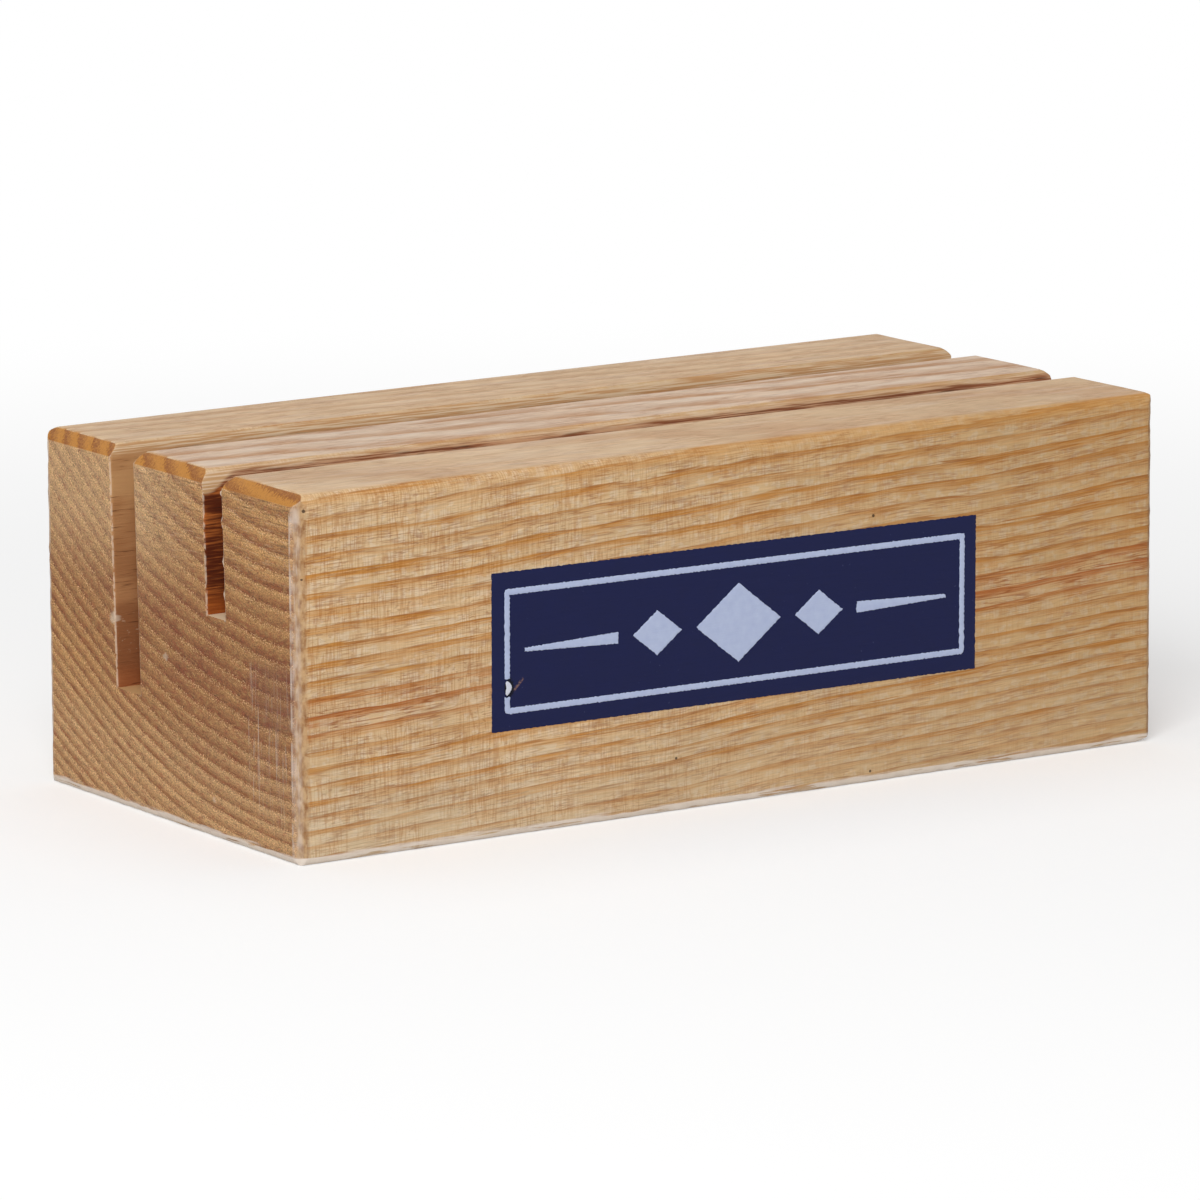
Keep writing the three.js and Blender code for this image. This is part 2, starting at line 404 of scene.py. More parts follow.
def long_grain(wire, place, rings, top_mask):
    """Colour along the grain, and how far early wood and fibres show.

    Each ring opens with a thin brown line, and with orange early wood that runs out in blotches, and pales
    outward. Fine dark fibres run along it, and rays cross it as upright ticks between pale flecks. The wood
    turns darker and more yellow towards the right end, a painted falloff of the light with a yellower tone.
    It is reddest in one ring, greyer and plainer near the foot, pinker on top with painted sheen in patches
    there, and golden along the rounded top edge of the front.
    """
    x, y, z = place
    phase = rings.phase
    front = 1 - top_mask
    blotches = front * (wire.noise(x / 6, 7.3 * rings.number, rings.around / 6).rise(0.25, 0.75) - 0.6)
    dashes = wire.noise(x / 6, rings.around / 0.2, rings.radius / 0.2, 2.0)
    early = 1 - (phase - 0.7 * (dashes - 0.5)).rise(0.06, 0.75 + 0.55 * blotches)
    early = early * phase.rise(0.0, 0.06)
    fading = wire.noise(x / 10, 7.3 * rings.number, rings.around / 20)
    early = early * (0.65 + 0.35 * rings.luck) * (0.4 + 1.1 * fading) * (0.5 + dashes)
    top_contrast = 0.7 + 0.5 * y.rise(-14, -9) - 0.6 * y.rise(8, 14)
    early = early * (1 + top_mask * (top_contrast - 1)) * (1 - 0.35 * (1 - z.rise(2, 13)) * front)
    edge = phase.near(0.05, 0.01, 0.08) * front
    edge = edge * wire.noise(x / 5, 3.1 * rings.number, rings.around / 9).rise(0.35, 0.6)
    fibre_patch = wire.noise(x / 7, y / 5, z / 2).rise(0.3, 0.6)
    fibres = wire.noise(x / 8, rings.around / 0.35, rings.radius / 0.35).near(0.5, 0.01, 0.07) * fibre_patch
    ray_patch = wire.noise(x / 9, y / 8, z / 3.5).rise(0.2, 0.6) * (1 - 0.6 * x.rise(-45, 45)) * front
    rays = wire.noise(x / 0.45, y / 3, z / 7).near(0.5, 0.01, 0.08) * ray_patch
    short_fibres = wire.noise(x / 0.9, rings.around / 0.2, rings.radius / 0.2).rise(0.6, 0.68) * ray_patch
    hairs = wire.noise(x / 4, rings.around / 0.18, rings.radius / 0.18)
    flecks = wire.noise(x / 1.2, rings.around / 3, rings.radius / 1.0).rise(0.48, 0.6)
    flecks = flecks * phase.rise(0.3, 0.6) * front
    cloud = wire.noise(x / 18, y / 18, z / 9) - 0.5

    # Darker and more yellow towards the right end: a painted falloff of the light from the left, with a
    # yellower tone
    painted_falloff_and_yellowing = x.rise(-60, 85)
    pale = painted_falloff_and_yellowing.blend(paint(228, 195, 150), paint(204, 165, 114))
    sapwood = (1 - z.rise(3, 15)) * (1 - x.rise(-60, 10))
    pale = (0.5 * sapwood).blend(pale, paint(230, 208, 172))
    middle_strip = y.near(-0.5, 9, 12)
    top_pale = middle_strip.blend(paint(223, 191, 153), paint(226, 198, 171))
    top_pale = (0.6 * painted_falloff_and_yellowing * (1 - y.rise(-20, -10))).blend(top_pale, paint(208, 174, 134))
    pale = top_mask.blend(pale, top_pale)
    orange = painted_falloff_and_yellowing.blend(paint(204, 142, 70), paint(186, 126, 60))
    orange = top_mask.blend(orange, paint(198, 154, 118))
    colour = early.blend(pale, orange)
    colour = (0.4 * flecks).blend(colour, painted_falloff_and_yellowing.blend(paint(236, 216, 188), paint(208, 186, 154)))
    colour = (0.5 * edge).blend(colour, paint(156, 92, 40))
    red_ring = rings.radius.near(RED_RING, 0.8, 4.0) * front
    colour = (red_ring * (0.08 + 0.55 * early + 0.3 * edge)).blend(colour, paint(172, 82, 38))
    colour = (0.45 * rays).blend(colour, paint(182, 112, 38))
    colour = ((0.45 + 0.35 * red_ring) * fibres).blend(colour, paint(154, 86, 36))
    colour = (0.4 * short_fibres).blend(colour, paint(150, 86, 38))
    # Painted sheen: pale patches on top that stand in for the satin finish reflecting the white surround
    painted_sheen = wire.noise(x / 12, y / 2, z / 4).rise(0.45, 0.75) * top_mask * (0.5 + 0.5 * middle_strip)
    colour = (0.4 * painted_sheen).blend(colour, paint(242, 226, 208))
    greyed = (0.04 + 0.16 * (1 - z.rise(6, 18))) * front * (1 - 0.7 * early)
    colour = greyed.blend(colour, paint(210, 194, 164))
    rim = (1 - y.rise(front_face + 0.9, front_face + 2.2)) * z.rise(top_face - 2.4, top_face - 1.2)
    colour = (rim * (0.15 + 0.25 * painted_falloff_and_yellowing)).blend(colour, paint(206, 150, 78))
    colour = (1 + 0.2 * cloud + (0.4 + 0.25 * top_mask) * (hairs - 0.5)).shade(colour)
    return colour, early, fibres


def end_grain(wire, place, rings, left_mask):
    """Colour of the end grain, with its fine specks and scratches.

    Each ring opens with a pale line of pores and darkens outward, broken up by short ticks along the ring. It
    is plainer towards the upper back, redder in the heart band, and streaked by the saw near the top.
    """
    x, y, z = place
    late = 1 - rings.phase.rise(0.0, 0.2) * (1 - rings.phase.rise(0.3, 1.0))
    plain = y.rise(-14, 8) * z.rise(26, 42)
    patch = wire.noise(x / 9, y / 7, z / 5, 2.0)
    broken = wire.noise(x / 9, rings.around / 2.5, rings.radius / 0.4, 2.0)
    share = (0.6 + 0.4 * rings.luck) * (0.5 + patch) * (0.6 + 0.8 * broken) * (0.85 + 0.15 * z.rise(6, 18))
    pale = (1 - z.rise(8, 20)).blend(paint(196, 148, 94), paint(202, 160, 112))
    colour = (late * share).blend(pale, paint(138, 84, 46))
    colour = (0.42 * plain).blend(colour, paint(222, 190, 148))
    browned = rings.radius.near(BROWN_BAND, 9, 20) * (1 - plain)
    colour = (0.3 * browned).blend(colour, paint(116, 62, 32))
    reddened = rings.heart * (1 - plain) * patch.rise(0.3, 0.7)
    colour = (0.55 * reddened).blend(colour, paint(116, 58, 36))
    tints = wire.noise(x / 9, rings.around / 1.3, rings.radius / 0.45, 2.0)
    colour = (0.45 * tints.rise(0.54, 0.68)).blend(colour, paint(148, 78, 52))
    colour = (0.35 * (1 - tints.rise(0.32, 0.46))).blend(colour, paint(190, 154, 98))

    specks = wire.noise(x / 6, y / 0.2, z / 0.2)
    ticks = wire.noise(x / 9, rings.around / 1.1, rings.radius / 0.2)
    open_pores = specks.rise(0.54, 0.7) * (1 - rings.phase.rise(0.2, 0.5))
    colour = (0.7 * open_pores).blend(colour, paint(226, 186, 142))
    colour = (0.45 * ticks.rise(0.58, 0.72)).blend(colour, paint(100, 62, 38))
    rays = wire.noise(x / 9, rings.around / 0.4, rings.radius / 7).near(0.5, 0.02, 0.1)
    saw_zone = z.rise(33, 42) * (1 - y.rise(5, 12))
    saw_streaks = wire.noise(x / 9, y / 4, z / 0.26, 2.0)
    colour = (0.5 * saw_zone * saw_streaks.rise(0.53, 0.68)).blend(colour, paint(104, 80, 60))
    colour = (0.3 * saw_zone * (1 - saw_streaks.rise(0.32, 0.45))).blend(colour, paint(210, 180, 146))
    light = 1.02 + 1.8 * (specks - 0.5) + 1.3 * (ticks - 0.5) + 0.07 * rays + 0.35 * (patch - 0.5)
    colour = light.shade(colour)

    stain = y.near(-28, 3, 7) * z.near(22, 3, 6) * left_mask
    colour = (0.25 * stain).blend(colour, paint(112, 70, 60))
    scratch_patch = y.near(-22.5, 1.0, 2.5).math("MAXIMUM", y.near(-28.5, 2.0, 4.5)) * z.near(15, 6, 13)
    scratch_patch = scratch_patch * wire.noise(x, y / 2, z / 5).rise(0.38, 0.55) * left_mask
    scratches = wire.noise(x / 5, y / 0.13, z / 10).rise(0.56, 0.68) * scratch_patch
    colour = (0.6 * scratches).blend(colour, paint(226, 208, 192))
    return colour, late, specks, scratches


def slot_zone(y):
    """1 about the slots and their lips, and 0 towards the front and back faces."""
    return 1 - y.math("ABSOLUTE").rise(18, 20)


def slot_wood(wire, place, facing):
    """Colour of the slots' walls, lips and floors, where it shows, and the lines that the cutter left.

    The cutter browned the rear slot and almost burnt the front one, but for its lip near the left end. A
    painted shade darkens the rear slot towards its floor. The floors are pale where they break out at the
    left end.
    """
    x, y, z = place
    front_floor, rear_floor = (floor for _, _, floor in slots)
    cloud = wire.noise(x / 12, y / 6, z / 5, 2.0)
    lines = wire.noise(x / 5, y / 2, z / 0.35, 2.0)
    lip_lines = wire.noise(x / 8, y / 0.35, z / 0.2, 2.0)
    mask = (facing[1].math("ABSOLUTE") + 0.8 * (lip_lines - 0.5)).rise(0.2, 0.9) * slot_zone(y)
    floor_mask = facing[2].rise(0.6, 0.9) * (1 - z.rise(top_face - 12, top_face - 8))
    rear_share = y.rise(-5, 5)

    # Painted shade: the rear slot's walls darken towards the floor, deeper in the slot
    height = z.rise(rear_floor - 0.4, top_face - 4)
    light_brown = height.blend(paint(176, 116, 74), paint(202, 154, 104))
    mid_brown = height.blend(paint(148, 90, 54), paint(182, 130, 84))
    rear = (cloud + 0.3 * (lines - 0.5)).rise(0.35, 0.65).blend(light_brown, mid_brown)
    rear = (0.25 * (1 - z.rise(rear_floor + 1.1, rear_floor + 3.6))).blend(rear, paint(176, 92, 44))
    flakes = wire.noise(x / 0.9, y, z / 0.3, 2.0).rise(0.64, 0.72) * z.near(rear_floor + 7.1, 1, 4)
    rear = (0.5 * flakes).blend(rear, paint(216, 186, 156))
    zones = wire.noise(x / 20, y / 20, z / 2.6)
    burnt = (zones + 0.6 * (lines - 0.5)).rise(0.36, 0.6).blend(paint(186, 104, 46), paint(92, 35, 9))
    burnt = (0.5 * (1 - z.rise(front_floor + 1.1, front_floor + 4.1))).blend(burnt, paint(190, 100, 36))
    streaks = lip_lines.rise(0.4, 0.6)
    scorched = streaks.blend(paint(208, 162, 124), paint(134, 80, 52))
    burnt = (0.85 * z.rise(top_face - 3.0, top_face - 1.6)).blend(burnt, scorched)
    colour = rear_share.blend(burnt, rear)
    colour = (0.6 * lines.rise(0.6, 0.7)).blend(colour, paint(62, 28, 14))

    pale_end = (1 - x.rise(left_end + 0.5, left_end + 6)) * (1 - rear_share)
    uneven_z = z + 0.8 * (cloud - 0.5) + 0.8 * (lines - 0.5) + 2.6 * pale_end
    lip_share = uneven_z.rise(top_face - 1.0, top_face - 0.3)
    lip_share = lip_share.math("MAXIMUM", rear_share * z.rise(top_face - 2.0, top_face - 1.0))
    front_lip = streaks.blend(paint(230, 202, 170), paint(204, 160, 114))
    rear_lip = streaks.blend(paint(224, 198, 164), paint(196, 150, 104))
    colour = lip_share.blend(colour, rear_share.blend(front_lip, rear_lip))
    broken_out = (1 - x.rise(left_end + 2, left_end + 6)) * floor_mask
    colour = floor_mask.blend(colour, paint(170, 120, 78))
    split_wood = rear_share.blend(paint(226, 198, 164), paint(200, 156, 106))
    colour = broken_out.blend(colour, split_wood)
    return colour, mask.math("MAXIMUM", floor_mask), lines


def bare_wood_and_foot_bounce(wire, place, facing):
    """Where the finish has worn off, and the colour of the wood there.

    Upright hair lines run down the end-grain half of the upright corners, and a ragged strip along the foot.
    The foot strip is painted near white: partly bare wood, partly painted light bounced up from the floor.
    """
    x, y, z = place
    end_facing = facing[0].math("ABSOLUTE")
    side_facing = facing[1].math("ABSOLUTE")
    outside = y.math("ABSOLUTE").rise(26, 30)
    corner = (end_facing * side_facing).rise(0.12, 0.3) * outside * end_facing.rise(0.55, 0.75)
    blotches = wire.noise(x / 1.3, y / 1.3, z / 2.2, 3.0)
    hair_lines = wire.noise(x / 0.22, y / 0.22, z / 5, 2.0)
    rubbed = corner * z.near(top_face - 2.8, 0.6, 1.6)
    corner = corner * (0.35 + 0.65 * (blotches + 0.8 * (hair_lines - 0.5)).rise(0.38, 0.62))
    edge_line = y.math("ABSOLUTE").near(back_face - EDGE_REACH, 0.12, 0.25) * end_facing.rise(0.9, 0.97)
    foot_noise = wire.noise(x / 6, y / 6, z / 0.4, 3.0)
    foot_wear_and_bounce = 1 - (z + 1.2 * (foot_noise - 0.5)).rise(0.8, 1.3)
    foot_wear_and_bounce = foot_wear_and_bounce * (1 - 0.8 * foot_noise.rise(0.58, 0.66))
    wear_and_foot_bounce = (0.5 * corner).math("MAXIMUM", 0.8 * rubbed).math("MAXIMUM", foot_wear_and_bounce)
    wear_and_foot_bounce = wear_and_foot_bounce.math("MAXIMUM", 0.7 * edge_line * blotches.rise(0.3, 0.5))
    colour = blotches.rise(0.3, 0.7).blend(paint(202, 178, 160), paint(234, 220, 208))
    # Painted light on the foot strip: whitened past bare wood to stand in for light bounced up from the white
    # floor
    colour = (0.8 * foot_wear_and_bounce).blend(colour, paint(252, 242, 230))
    return colour, wear_and_foot_bounce, blotches


def ash_material():
    """Clear-finished ash: long grain, end grain, browned slots, soaked chamfers and bare worn edges."""
    material, wire, place, facing = new_material("clear_finished_ash")
    x, y, z = place
    end_facing = facing[0].math("ABSOLUTE")
    side_facing = facing[1].math("ABSOLUTE")
    end_mask = end_facing.rise(0.75, 0.92)
    left_mask = 1 - x.rise(left_end + 1.5, left_end + 2.5)
    top_mask = facing[2].rise(0.92, 0.995)

    rings = ash_rings(wire, place, end_mask)
    long_colour, early, fibres = long_grain(wire, place, rings, top_mask)
    end_colour, late, specks, scratches = end_grain(wire, place, rings, left_mask)
    colour = end_mask.blend(long_colour, end_colour)

    # Chamfers across the end grain soak up the finish
    chamfer_mask = end_facing.near(0.7, 0.15, 0.3) * facing[2].near(0.7, 0.15, 0.3)
    caramel = (0.8 * late + 1.8 * (specks - 0.5)).blend(paint(198, 136, 62), paint(144, 84, 36))
    colour = chamfer_mask.blend(colour, caramel)

    slot_colour, slot_mask, slot_lines = slot_wood(wire, place, facing)
    colour = slot_mask.blend(colour, slot_colour)

    # Torn fibres along the slots' edges at the ends, with a painted highlight along those edges
    upright_y = y + SLOT_LEAN * (top_face - z)
    torn = wire.noise(x / 0.5, y / 0.5, z / 0.9, 2.0).rise(0.36, 0.52) * end_facing.rise(0.3, 0.5)
    for (near, far, floor), shares in zip(slots, TORN_AND_HIGHLIGHT_SHARES):
        for wall, share in zip((near, far), shares):
            edge = upright_y.near(wall, 0.15, 0.32) * z.rise(floor - 0.3, floor)
            colour = (share * edge * torn).blend(colour, paint(230, 206, 182))

    # The finish is thin on the front half of the upright corners
    thin_finish = (end_facing * side_facing).rise(0.05, 0.5) * (1 - slot_zone(y)) * (1 - end_mask)
    mottling = wire.noise(x / 0.8, y / 0.8, z / 1.6, 3.0).rise(0.35, 0.65)
    colour = (0.85 * thin_finish).blend(colour, mottling.blend(paint(144, 98, 58), paint(200, 162, 118)))
    dots = wire.noise(x / 0.5, y / 0.5, z / 0.8).rise(0.64, 0.72) * end_facing.near(0.3, 0.1, 0.25)
    colour = (0.6 * dots * thin_finish).blend(colour, paint(134, 76, 40))
    # Bare worn wood, and painted floor light whitening the foot strip
    bare_and_foot_bounce_colour, wear_and_foot_bounce, blotches = bare_wood_and_foot_bounce(wire, place, facing)
    colour = (0.85 * wear_and_foot_bounce).blend(colour, bare_and_foot_bounce_colour)

    # Nicks in the left end
    for nick_y, nick_z, nick_size, share in NICKS:
        away_y = (y - nick_y) / nick_size + 2 * (specks - 0.5)
        away_z = (z - nick_z) / (0.8 * nick_size) + 2 * rings.ragged
        away_x = (x - left_end) / nick_size
        nick = 1 - (away_x * away_x + away_y * away_y + away_z * away_z).rise(0.3, 1.2)
        colour = (share * nick).blend(colour, paint(228, 208, 184))

    # Dark specks and pinholes on the front
    front_mask = facing[1].near(-1, 0.3, 0.6) * (1 - y.rise(front_face + 1, front_face + 2))
    for speck_x, speck_z, speck_size in FRONT_SPECKS:
        away_x = (x - speck_x) / speck_size
        away_z = (z - speck_z) / speck_size
        speck = 1 - (away_x * away_x + away_z * away_z).rise(0.4, 1.2)
        colour = (0.85 * speck * front_mask).blend(colour, paint(52, 34, 22))

    roughness = 0.45 + 0.15 * early + 0.35 * slot_mask + 0.25 * wear_and_foot_bounce + 0.12 * end_mask + 0.12 * top_mask
    long_height = -0.2 * fibres
    end_height = specks - 0.5 * scratches
    height = long_height + end_mask * (end_height - long_height)
    height = height + 1.5 * slot_mask * slot_lines + 2.0 * wear_and_foot_bounce * blotches
    finish_material(wire, colour, roughness, WOOD_GLOSS, height, GRAIN_DEPTH)
    return material


block_points, block_quads = block_skin()
ease_block(block_points)
make_piece("wood_block_dressed", block_points, block_quads, ash_material(), "wood_block")

# The printed panel: one pass of dark blue screen ink straight on the wood, so its rim is a little ragged
# along the grain and the grain shows faintly through.
PANEL_WIDTH = 80.3
PANEL_HEIGHT = 21.8
PANEL_CENTRE = (-0.3, 25.2)
PANEL_TURN = math.radians(-0.3)
BLUE_INK = 0.12
WHITE_INK = 0.08
SUNK = 0.03
RAGGED = 0.045
PANEL_STEP = 0.35
INK_GLOSS = 0.15
INK_GRAIN = 0.03

# Shares of the full thickness at the rim of a film and in the next two rows
THIN_RIM = (0.35, 0.85, 1.0)

# The knock that broke the print, the reach of its dark patch, which is partly the flake's painted shadow,
# and the scrape beside it, as x and z on the block
KNOCK = (-37.75, 20.4)
KNOCK_AND_SHADOW_REACH = (0.85, 1.5)
SCRAPE = (-36.3, 20.7)


def ink_film(across, up, base, thickness):
    """Points and quads of a closed film of ink on the front face, over a grid of places on the panel.

    Every place strays by a little seeded unevenness, and the film thins out over the two rows next to its
    rim. Its back is sunk into what carries it.
    """
    rows, columns = across.shape
    flat_across, flat_up = across.ravel(), up.ravel()
    stray = RAGGED * (wander(flat_up + 0.37 * flat_across, 1.1, 21) + 0.7 * wander(flat_up, 0.5, 23))
    lift = RAGGED * (wander(flat_across + 0.31 * flat_up, 0.9, 22) + 0.7 * wander(flat_across, 0.5, 24))
    flat_across = flat_across + stray
    flat_up = flat_up + lift
    x = PANEL_CENTRE[0] + flat_across * math.cos(PANEL_TURN) - flat_up * math.sin(PANEL_TURN)
    z = PANEL_CENTRE[1] + flat_across * math.sin(PANEL_TURN) + flat_up * math.cos(PANEL_TURN)
    row, column = np.indices((rows, columns))
    from_rim = np.minimum.reduce([row, column, rows - 1 - row, columns - 1 - column]).ravel()
    proud = base + thickness * np.interp(from_rim, [0, 1, 2], THIN_RIM)
    front = np.stack([x, front_face - proud, z], axis=1)
    back = np.stack([x, np.full_like(x, front_face - base + SUNK), z], axis=1)

    number = row * columns + column
    corners = [number[:-1, :-1], number[:-1, 1:], number[1:, 1:], number[1:, :-1]]
    quad = np.stack(corners, axis=-1).reshape(-1, 4)
    rim = np.concatenate([number[0, :-1], number[:-1, -1], number[-1, :0:-1], number[:0:-1, 0]])
    after = np.roll(rim, -1)
    behind = rows * columns
    sides = np.stack([rim, rim + behind, after + behind, after], axis=-1)
    quads = np.concatenate([quad, quad[:, ::-1] + behind, sides])
    return np.concatenate([front, back]), quads


def rectangle_grid(width, height, step):
    """Places across and up a rectangle about the panel's centre."""
    across = np.linspace(-width / 2, width / 2, math.ceil(width / step) + 1)
    up = np.linspace(-height / 2, height / 2, math.ceil(height / step) + 1)
    return np.meshgrid(across, up)


def blue_ink_material():
    """Dark blue ink, a little uneven, with the grain under it, a scrape down to the wood, and one knock: a
    dark nick and the flake's painted shadow.
    """
    material, wire, (x, _, z), _ = new_material("dark_blue_screen_ink")
    grain = wire.noise(x / 6, 0.0, z / 0.2, 2.0) - 0.5
    mottle = wire.noise(x / 3, 0.0, z / 3, 2.0) - 0.5
    speck = wire.noise(x / 0.5, 0.0, z / 0.5).rise(0.74, 0.8)
    colour = (1 + 0.16 * grain + 0.2 * mottle).shade(paint(27, 32, 73)[:3])
    colour = (0.25 * speck).blend(colour, paint(96, 98, 140))
    scrape_x = math.sqrt(0.5) * (x - SCRAPE[0])
    scrape_z = math.sqrt(0.5) * (z - SCRAPE[1])
    ragged = wire.noise(x / 0.3, 0.0, z / 0.3, 2.0)
    scrape = (scrape_x + scrape_z).near(0, 0.8, 1.3) * (scrape_x - scrape_z).near(0, 0.05, 0.3)
    scrape = scrape * ragged.rise(0.35, 0.55)
    colour = scrape.blend(colour, paint(128, 98, 92))
    # The knock: a dark nick, painted nearly black round the flake as the flake's painted shadow
    away_x = (x - KNOCK[0]) / KNOCK_AND_SHADOW_REACH[0]
    away_z = (z - KNOCK[1]) / KNOCK_AND_SHADOW_REACH[1]
    knock_and_flake_shadow = 1 - (away_x * away_x + away_z * away_z + 1.4 * (ragged - 0.5)).rise(0.6, 1.0)
    colour = (0.85 * knock_and_flake_shadow).blend(colour, paint(12, 11, 14))
    height = grain + 0.4 * mottle - scrape
    finish_material(wire, colour, 0.55 + 0.2 * mottle, INK_GLOSS, height, INK_GRAIN)
    return material


panel_across, panel_up = rectangle_grid(PANEL_WIDTH, PANEL_HEIGHT, PANEL_STEP)
panel_points, panel_quads = ink_film(panel_across, panel_up, 0.0, BLUE_INK)
make_piece("label_panel_dressed", panel_points, panel_quads, blue_ink_material(), "label_panel")

# The white frame line: the second ink pass, laid over the blue. One knock has broken it near its lower left
# corner, where the line stops and starts again, and a loose flake of it sits in the gap.
BORDER_MARGIN = (2.0, 2.33)
BORDER_LINE = 0.82
SOFT_CORNER = 0.5
LINE_STEP = 0.15
LINE_ROWS = 7
GAP_LOW = -6.24
GAP_HIGH = -3.74
FLAKE_MIDDLE = (-37.45, -4.98)
FLAKE_REACH = (0.42, 0.98)
FLAKE_BEND = 0.3
FLAKE_ROWS = 15
QUARTERS = ((-1, -1), (1, -1), (1, 1), (-1, 1))


def white_ink_material():
    """White ink over blue: a cool tint, mottled where it is thin, and whiter on the loose flake."""
    material, wire, (x, _, z), _ = new_material("white_screen_ink")
    mottle = wire.noise(x / 1.2, 0.0, z / 1.2, 3.0) - 0.5
    grain = wire.noise(x / 6, 0.0, z / 0.2, 2.0) - 0.5
    colour = (0.5 + 1.2 * mottle).blend(paint(178, 190, 225), paint(199, 210, 237))
    flake = x.near(KNOCK[0], 0.7, 0.9) * z.near(KNOCK[1], 1.0, 1.2)
    colour = (0.7 * flake).blend(colour, paint(232, 232, 238))
    colour = (1 + 0.06 * grain).shade(colour)
    finish_material(wire, colour, 0.55 + 0.2 * mottle, INK_GLOSS, grain + 0.5 * mottle, INK_GRAIN)
    return material


white_ink = white_ink_material()


def broken_frame_line():
    """A strip carried once round the frame's middle line, from below the gap to above it.

    Its outer corners are rounded off where the ink drew in.
    """
    half_width = (PANEL_WIDTH - BORDER_LINE) / 2 - BORDER_MARGIN[0]
    half_height = (PANEL_HEIGHT - BORDER_LINE) / 2 - BORDER_MARGIN[1]
    corners = np.array([
        (-half_width, GAP_LOW),
        (-half_width, -half_height),
        (half_width, -half_height),
        (half_width, half_height),
        (-half_width, half_height),
        (-half_width, GAP_HIGH),
    ])
    inward = np.array([(1, 0), (1, 1), (-1, 1), (-1, -1), (1, -1), (1, 0)])
    lengths = np.linalg.norm(np.diff(corners, axis=0), axis=1)
    travelled = np.concatenate([[0], np.cumsum(lengths)])
    stops = cut_lines(travelled, [LINE_STEP] * len(lengths))
    middle = np.stack([np.interp(stops, travelled, corners[:, axis]) for axis in (0, 1)], axis=-1)
    leg = np.clip(np.searchsorted(travelled, stops, side="right") - 1, 0, len(lengths) - 1)
    at_corner = np.isclose(stops[:, None], travelled)
    turn = np.stack([
        np.where(at_corner.any(axis=1), inward[at_corner.argmax(axis=1), axis], 0) for axis in (0, 1)
    ], axis=-1)
    straight = np.array([(1, 0), (0, 1), (-1, 0), (0, -1), (1, 0)])[leg]
    side = np.where(at_corner.any(axis=1)[:, None], turn, straight)
    offset = np.linspace(BORDER_LINE / 2, -BORDER_LINE / 2, LINE_ROWS)[:, None]
    strip = middle + offset[:, :, None] * side
    places = strip.reshape(-1, 2)
    outer = np.array([half_width, half_height]) + BORDER_LINE / 2
    for quarter in QUARTERS:
        ease_corner(places, [0, 1], quarter * outer, quarter * (outer - SOFT_CORNER), ROUND_POWER)
    return strip[:, :, 0], strip[:, :, 1]


def flake_grid():
    """A square grid rounded into an ellipse and bent like a kidney."""
    a, b = np.meshgrid(np.linspace(-1, 1, FLAKE_ROWS), np.linspace(-1, 1, FLAKE_ROWS))
    across = FLAKE_MIDDLE[0] + FLAKE_REACH[0] * a * np.sqrt(1 - b * b / 2) - FLAKE_BEND * b * b
    return across, FLAKE_MIDDLE[1] + FLAKE_REACH[1] * b * np.sqrt(1 - a * a / 2)


line_points, line_quads = ink_film(*broken_frame_line(), BLUE_INK, WHITE_INK)
flake_points, flake_quads = ink_film(*flake_grid(), BLUE_INK, WHITE_INK)
make_piece(
    "label_border_dressed",
    np.concatenate([line_points, flake_points]),
    np.concatenate([line_quads, flake_quads + len(line_points)]),
    white_ink, "label_border",
)

# The row inside the frame line, in the same white pass: a lozenge with a small one on each side, and a rule
# on each side that tapers to a fine outer tip.
LOZENGE = (14.0, 11.0)
SIDE_LOZENGE = (8.0, 6.2)
MOTIF_GAP = 2.4
RULE_WIDTH = 1.6
RULE_TIP = 0.5
MOTIF_STEPS = 40


def lozenge_grid(middle, width, height):
    """A square grid stood on its corner: across goes with a - b, and up with a + b."""
    a, b = np.meshgrid(np.linspace(-0.5, 0.5, MOTIF_STEPS), np.linspace(-0.5, 0.5, MOTIF_STEPS))
    return middle + (a - b) * width / 2, (a + b) * height / 2


def rule_grid(start, end):
    """A strip from its blunt inner end to its fine outer tip, its width going evenly with the distance."""
    share, side = np.meshgrid(np.linspace(0, 1, 2 * MOTIF_STEPS), np.linspace(-0.5, 0.5, LINE_ROWS))
    return start + share * (end - start), side * (RULE_WIDTH + share * (RULE_TIP - RULE_WIDTH))


side_place = (LOZENGE[0] + SIDE_LOZENGE[0]) / 2 + MOTIF_GAP
rule_start = side_place + SIDE_LOZENGE[0] / 2 + MOTIF_GAP
rule_end = PANEL_WIDTH / 2 - BORDER_MARGIN[0] - BORDER_LINE - MOTIF_GAP
motifs = {
    "label_lozenge": lozenge_grid(0, *LOZENGE),
    "label_lozenge_left": lozenge_grid(-side_place, *SIDE_LOZENGE),
    "label_lozenge_right": lozenge_grid(side_place, *SIDE_LOZENGE),
    "label_rule_left": rule_grid(-rule_start, -rule_end),
    "label_rule_right": rule_grid(rule_start, rule_end),
}
for node, grid in motifs.items():
    motif_points, motif_quads = ink_film(*grid, BLUE_INK, WHITE_INK)
    make_piece(node + "_dressed", motif_points, motif_quads, white_ink, node)

# The stage, in metres: a wide pale floor that takes the block's soft shadow, one soft box in front and to the
# left, a large one overhead, and a white surround.
FLOOR_SIZE = 12.0
FLOOR_DROP = 0.05 * MM
FLOOR_WHITE = 0.8
FLOOR_LIFT = 0.3
SHADOW_REACH = 0.10
WHITE_REACH = 0.40
SURROUND = 0.4


def seen_ground(wire):
    """1 for what the camera sees, straight or in a gloss, and 0 for light on its way to the object."""
    ray = wire.node("LightPath")
    mirrored = ray.out("Is Glossy Ray").math("MAXIMUM", ray.out("Is Transmission Ray"))
    return ray.out("Is Camera Ray").math("MAXIMUM", mirrored)


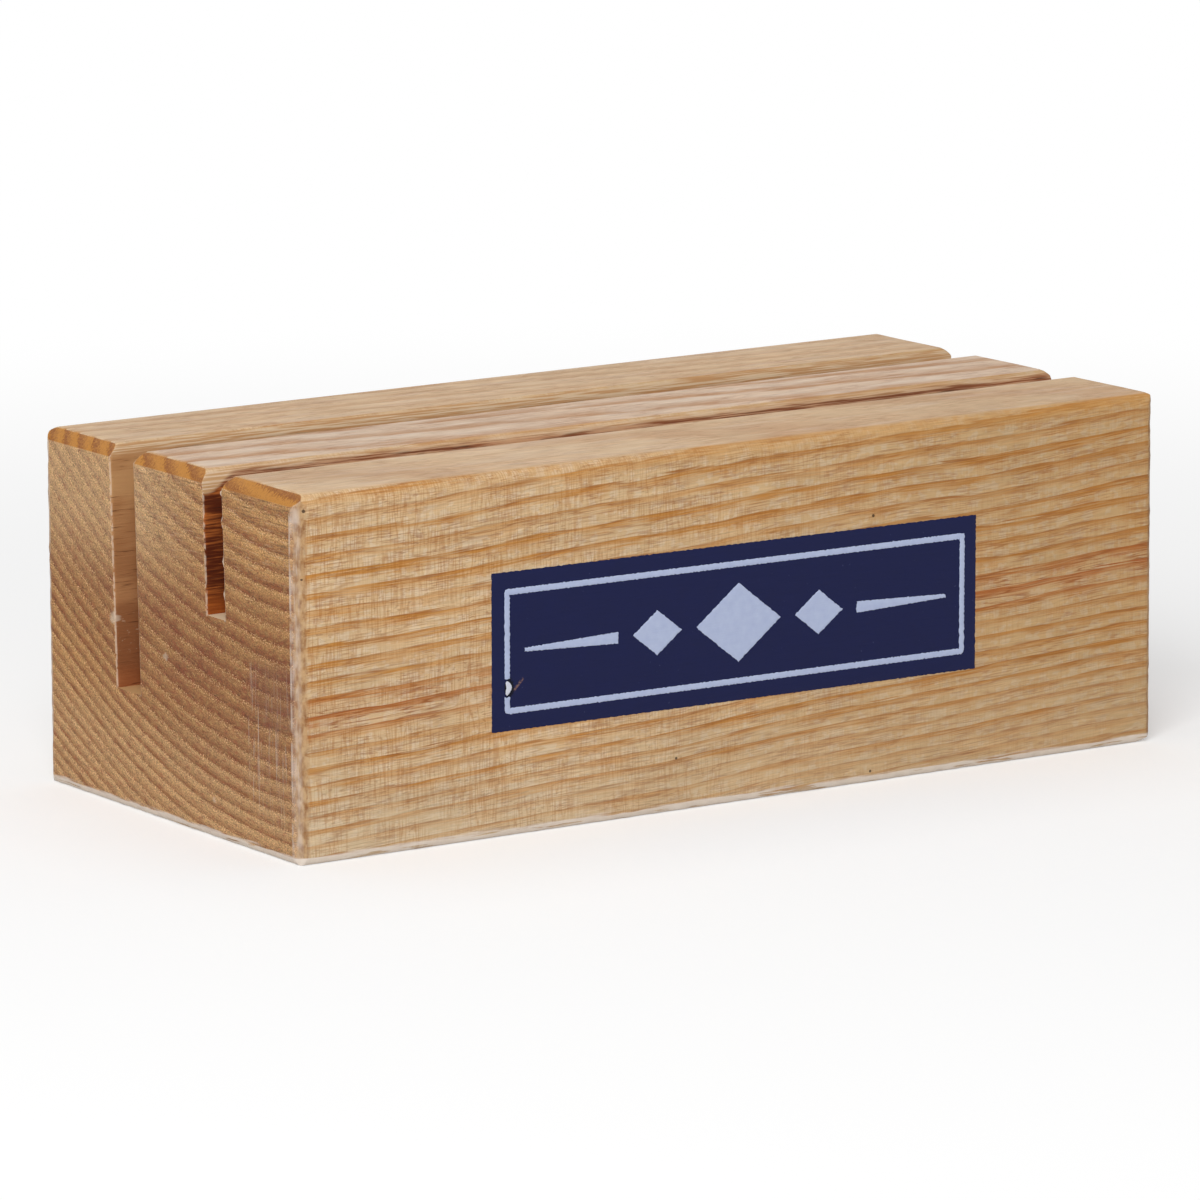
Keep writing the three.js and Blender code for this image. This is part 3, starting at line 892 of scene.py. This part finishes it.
def soft_box(name, place, size, watts):
    """A square area light that looks at the block's middle and stays out of the picture."""
    lamp = bpy.data.objects.new(name, bpy.data.lights.new(name, "AREA"))
    lamp.data.size = size
    lamp.data.energy = watts
    lamp.location = place
    lamp.rotation_mode = "QUATERNION"
    lamp.rotation_quaternion = (Vector((0, 0, top_face * MM / 2)) - Vector(place)).to_track_quat("-Z", "Y")
    lamp.visible_camera = False
    bpy.context.scene.collection.objects.link(lamp)


def floor_material():
    """Matt white. Where it is seen it is lifted near the block, and turns into plain white away from it."""
    material, wire, (x, y, _), _ = new_material("white_floor")
    white = (FLOOR_WHITE, FLOOR_WHITE, FLOOR_WHITE, 1.0)
    base = {"Base Color": white, "Roughness": 1.0, "Specular IOR Level": 0.0}
    matt = wire.node("BsdfPrincipled", None, base)
    seen = seen_ground(wire)
    lift = wire.node("Emission", None, {"Strength": FLOOR_LIFT * seen})
    knock_and_flake_shadow = wire.node("AddShader", None, {0: matt, 1: lift})
    plain = wire.node("Emission", None, {"Strength": 1.0})
    distance = MM * (x * x + y * y).math("SQRT")
    far = distance.rise(SHADOW_REACH, WHITE_REACH) * seen
    both = wire.node("MixShader", None, {0: far, 1: knock_and_flake_shadow, 2: plain})
    wire.node("OutputMaterial", None, {"Surface": both})
    return material


half_floor = FLOOR_SIZE / 2
floor_corners = [(half_floor * x, half_floor * y, -FLOOR_DROP) for x, y in QUARTERS]
floor_mesh = bpy.data.meshes.new("floor")
floor_mesh.from_pydata(floor_corners, [], [(0, 1, 2, 3)])
floor_mesh.materials.append(floor_material())
floor = bpy.data.objects.new("floor", floor_mesh)
bpy.context.scene.collection.objects.link(floor)

world = bpy.data.worlds.new("white_surround")
bpy.context.scene.world = world
world.use_nodes = True
world.node_tree.nodes.clear()
world_wire = Wire(world.node_tree)
surround = SURROUND + (1 - SURROUND) * seen_ground(world_wire)
background = world_wire.node("Background", None, {"Strength": surround})
world_wire.node("OutputWorld", None, {"Surface": background})

soft_box("key_box", place=(-0.78, -0.80, 0.85), size=0.65, watts=10.5)
soft_box("top_box", place=(0.0, 0.15, 0.9), size=0.8, watts=1.6)

# The camera: a long lens from in front, to the left and a little above.
CAMERA_PLACE = Vector((-0.63721, -0.96015, 0.2465))
CAMERA_YAW = math.radians(33.54)
CAMERA_PITCH = math.radians(10.98)
CAMERA_ROLL = math.radians(-0.30)
CAMERA_LENS = 251.15
SENSOR_WIDTH = 36.0

camera = bpy.data.objects.new("camera", bpy.data.cameras.new("camera"))
camera.data.lens = CAMERA_LENS
camera.data.sensor_width = SENSOR_WIDTH
camera.matrix_world = (
    Matrix.Translation(CAMERA_PLACE)
    @ Matrix.Rotation(-CAMERA_YAW, 4, "Z")
    @ Matrix.Rotation(math.pi / 2 - CAMERA_PITCH, 4, "X")
    @ Matrix.Rotation(CAMERA_ROLL, 4, "Z")
)
bpy.context.scene.collection.objects.link(camera)
bpy.context.scene.camera = camera
bpy.context.scene.view_settings.view_transform = "Standard"
